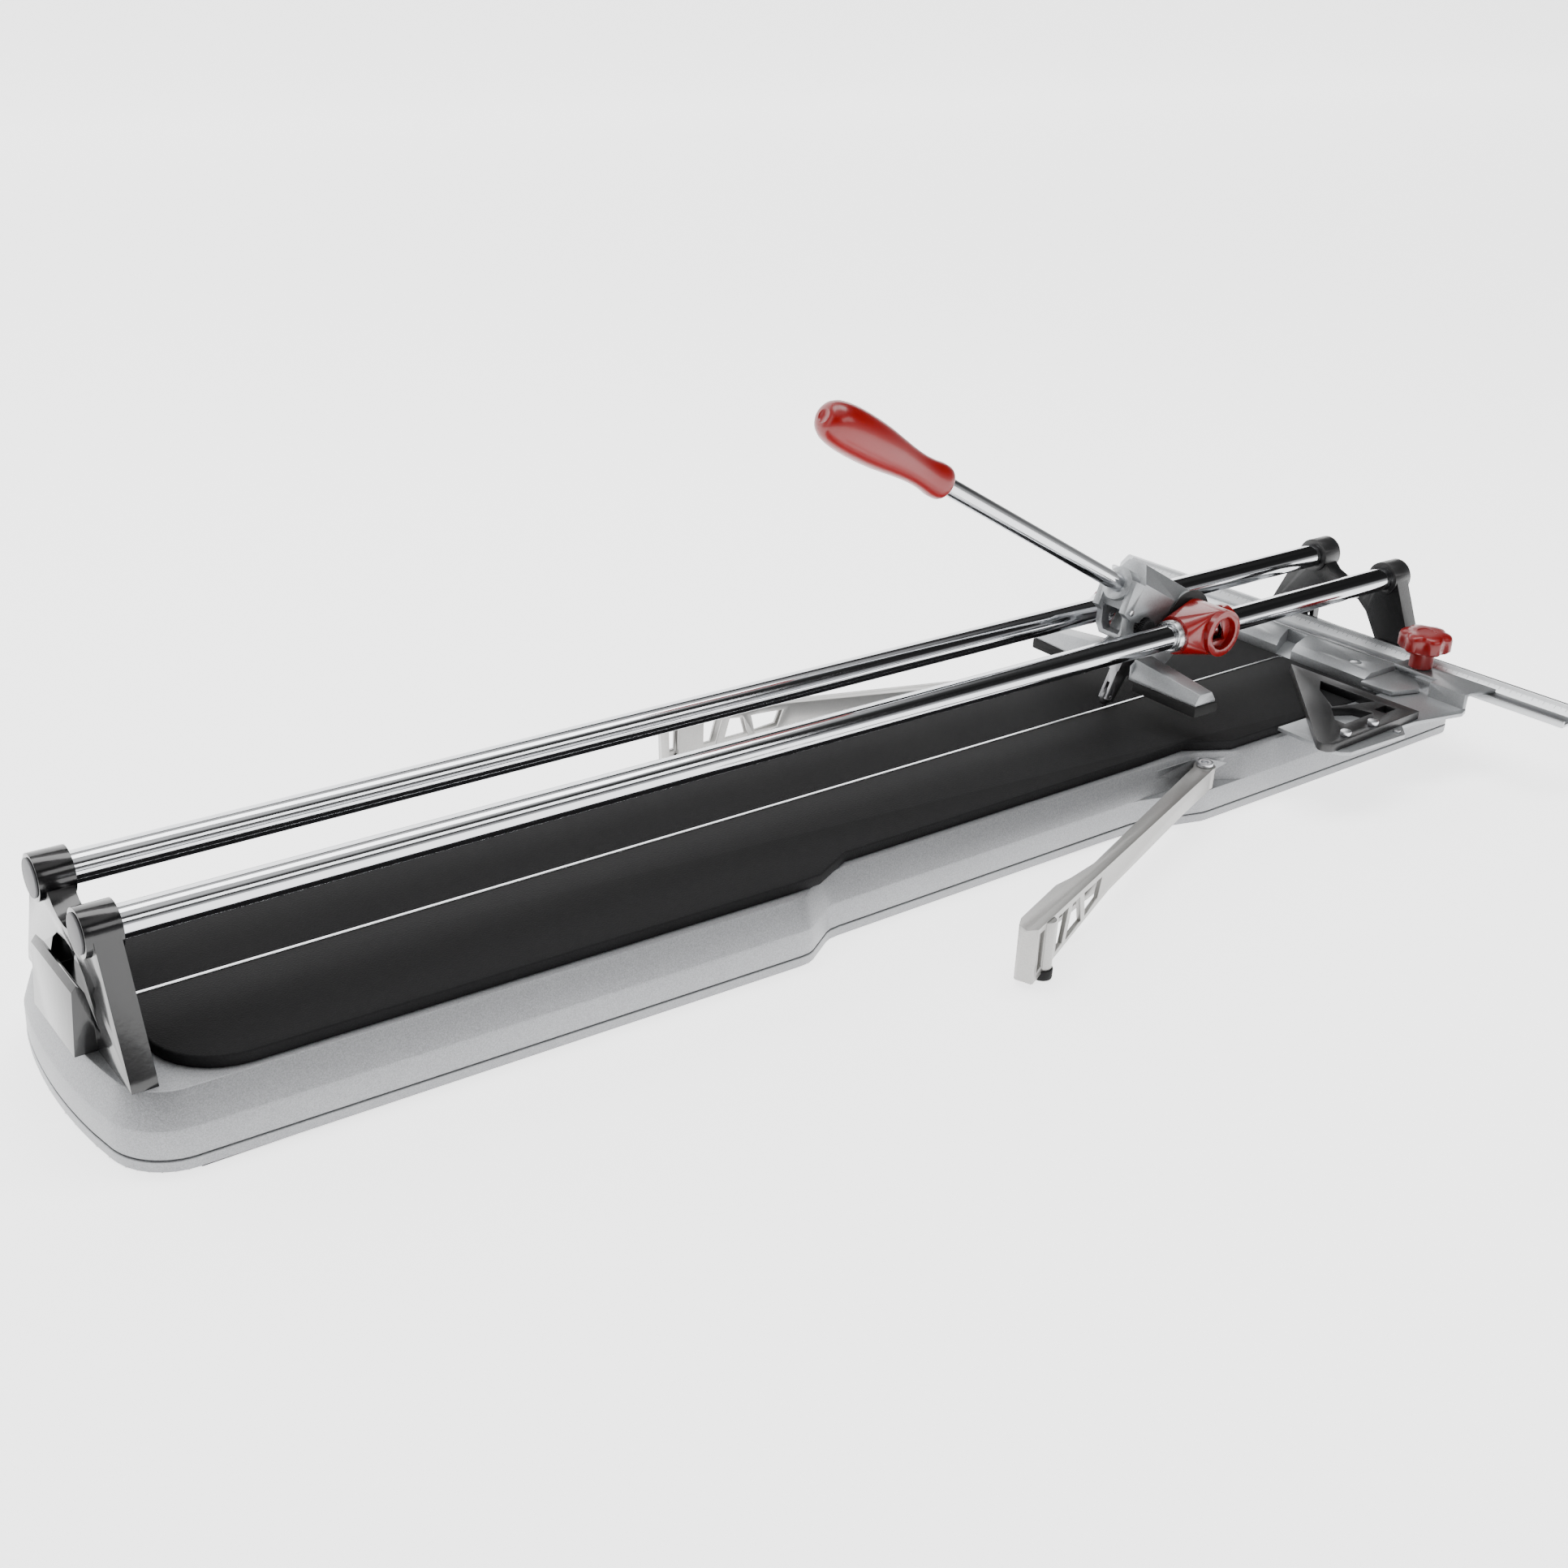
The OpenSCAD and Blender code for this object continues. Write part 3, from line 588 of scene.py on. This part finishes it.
# ---- Carriage ----------------------------------------------------------------------------
# Two cast sliders in gloss red enamel run on bright bushes. A steel axle ties them together
# and carries the lever and the breaker, each kept apart by a black washer.
gloss_red = coated("gloss_red", (0.2, 0.0006, 0.0006), 0.26, coat=0.35, peel=0.0002,
                   peel_scale=320, wear=0.0, grime=0.05, strength=0.15)
turned_steel = bare_metal("turned_steel", (0.66, 0.67, 0.68), 0.26)
dark_steel = bare_metal("dark_steel", (0.30, 0.30, 0.31), 0.34)
for node in ("front_slider", "back_slider"):
    dressed(node, gloss_red, 0.0012, 3, 24)
dressed("slider_bushes", turned_steel, 0.0005)
dressed("cross_axle", turned_steel, 0.0006)
washer_black = foam_or_rubber("washer_black", (0.018, 0.018, 0.018), 0.45, 1500, 0.00003)
dressed("hub_washers", washer_black, 0.0004)

# ---- Lever -------------------------------------------------------------------------------
# The cast head pivots on the axle and clamps a chromed rod with a moulded red grip. Its socket
# holds the wheel holder by a knurled screw.
dressed("lever_head", satin_silver, 0.0012, 2)
dressed("head_pin", turned_steel, 0.0003)
dressed("wheel_holder", dark_steel, 0.0005)
dressed("wheel_axle", turned_steel, 0.0002)
dressed("scoring_wheel", dark_steel, 0.0)

axle_centre = middle("cross_axle")[0]
lever_tilt = math.radians(29)
lever_way = Vector((-math.cos(lever_tilt), 0, math.sin(lever_tilt)))
lever_down = Vector((-math.sin(lever_tilt), 0, -math.cos(lever_tilt)))
rod_start, rod_end, rod_radius, rod_chamfer = 0.042, 0.418, 0.007, 0.0005
rod_outline = [(rod_start, 0), (rod_start, rod_radius - rod_chamfer),
               (rod_start + rod_chamfer, rod_radius), (rod_end - rod_chamfer, rod_radius),
               (rod_end, rod_radius - rod_chamfer), (rod_end, 0)]
rod = turned("lever_rod_bar", rod_outline, axle_centre, lever_way, 64)
finish_piece(rod, "lever", chrome, "lever_rod", "lever_rod")

red_plastic = coated("red_plastic", (0.21, 0.0006, 0.0012), 0.30, coat=0.2, peel=0.0002,
                     peel_scale=500, wear=0.0, grime=0.04, strength=0.12)
# Distance along the lever and radius: collar, waist, swell and rounded end.
grip_outline = [(0.304, 0.0072), (0.304, 0.0115), (0.3046, 0.0122), (0.306, 0.0129),
                (0.310, 0.0130), (0.314, 0.0129), (0.320, 0.0120), (0.326, 0.0116),
                (0.332, 0.0115), (0.340, 0.0119), (0.350, 0.0129), (0.362, 0.0144),
                (0.374, 0.0158), (0.386, 0.0166), (0.398, 0.0169), (0.408, 0.0167),
                (0.416, 0.0159), (0.4225, 0.0145), (0.427, 0.0122), (0.4295, 0.0096),
                (0.4306, 0.0070), (0.4309, 0.0052), (0.4303, 0.0044), (0.4296, 0.0)]
grip = turned("handle_grip_moulding", grip_outline, axle_centre, lever_way, 96)
finish_piece(grip, "lever", red_plastic, "handle_grip", "handle_grip")


def knurled(name, centre, way, length, radius, teeth=28, depth=0.0007):
    """A turned disc with straight knurling and a small chamfer at both ends."""
    way = Vector(way).normalized()
    side = way.orthogonal().normalized()
    other = way.cross(side)
    rows = [(0.0, radius - 0.0012), (0.0008, radius), (length - 0.0008, radius),
            (length, radius - 0.0012), (length, radius - 0.0030), (length - 0.0008, 0.0002)]
    points = []
    sides = teeth * 4
    for i, (along, r) in enumerate(rows):
        for k in range(sides):
            angle = 2 * math.pi * k / sides
            cut = depth if k % 4 in (2, 3) and i in (1, 2) else 0.0
            out = side * math.cos(angle) + other * math.sin(angle)
            points.append(Vector(centre) + way * along + out * (r - cut))
    piece = new_object(name, mesh_from(name, points, join_rings(len(rows), sides)))
    smooth_by_angle(piece.data, 25)
    return piece


screw_black = foam_or_rubber("screw_black", (0.022, 0.022, 0.023), 0.42, 1500, 0.00003)
screw_along, screw_below, socket_half_width = 0.046, 0.022, 0.011
screw_length, screw_radius = 0.012, 0.0075
screw_place = axle_centre + lever_way * screw_along + lever_down * screw_below
screw = knurled("holder_screw_head", screw_place + Vector((0, -socket_half_width, 0)),
                (0, -1, 0), screw_length, screw_radius)
finish_piece(screw, "lever", screw_black, "holder_screw", "holder_screw")

# ---- Breaker -----------------------------------------------------------------------------
# A cast bridge hangs from the axle on two side plates. Its wings carry black rubber pads that
# press on the tile either side of the break strip.
dressed("breaker_casting", satin_silver, 0.0014, 2)
dressed("breaker_pads", rubber, 0.0012, 2)
dressed("breaker_magnets", turned_steel, 0.0003)

# ---- Side stop and lock knob -------------------------------------------------------------
# A pressed and cast carrier slides along the ruler with a black triangular corner stop screwed
# on top. A six-lobed red knob locks it.
dressed("stop_carrier", satin_silver, 0.0007, 2)
dressed("corner_stop", satin_black, 0.0008, 2)
dressed("stop_screws", zinc, 0.0005, 2)
dressed("knob_stud", zinc, 0.0004)


def lobed_knob(name, centre, height, radius, skirt_radius, skirt):
    """A moulded knob: a plain skirt, a lobed head and a crowned top."""
    rows = [(0.0, skirt_radius - 0.0006, 0.0), (0.0006, skirt_radius, 0.0),
            (skirt - 0.0010, skirt_radius, 0.0), (skirt, radius * 0.62, 0.35),
            (skirt + 0.0012, radius * 0.90, 0.8), (skirt + 0.0032, radius, 1.0),
            (height - 0.0048, radius, 1.0), (height - 0.0022, radius * 0.955, 0.95),
            (height - 0.0008, radius * 0.86, 0.7), (height, radius * 0.62, 0.3),
            (height, radius * 0.36, 0.0), (height - 0.0008, radius * 0.33, 0.0),
            (height - 0.0008, radius * 0.02, 0.0)]
    sides, lobe_count, lobe_depth = 144, 6, 0.17
    points = []
    for along, r, lobes in rows:
        for k in range(sides):
            angle = 2 * math.pi * k / sides
            wave = 0.5 - 0.5 * math.cos(lobe_count * angle)
            reach = r * (1 - lobe_depth * lobes * wave ** 1.6)
            points.append((centre.x + reach * math.cos(angle), centre.y + reach * math.sin(angle),
                           centre.z + along))
    piece = new_object(name, mesh_from(name, points, join_rings(len(rows), sides)))
    smooth_by_angle(piece.data, 40)
    return piece


knob_centre, knob_low, knob_high = middle("lock_knob")
skirt_radius, skirt_height = 0.010, 0.0148
knob = lobed_knob("lock_knob_moulding", Vector((knob_centre.x, knob_centre.y, knob_low.z)),
                  knob_high.z - knob_low.z, (knob_high.x - knob_low.x) / 2,
                  skirt_radius, skirt_height)
finish_piece(knob, "knob", red_plastic, "lock_knob", "lock_knob")
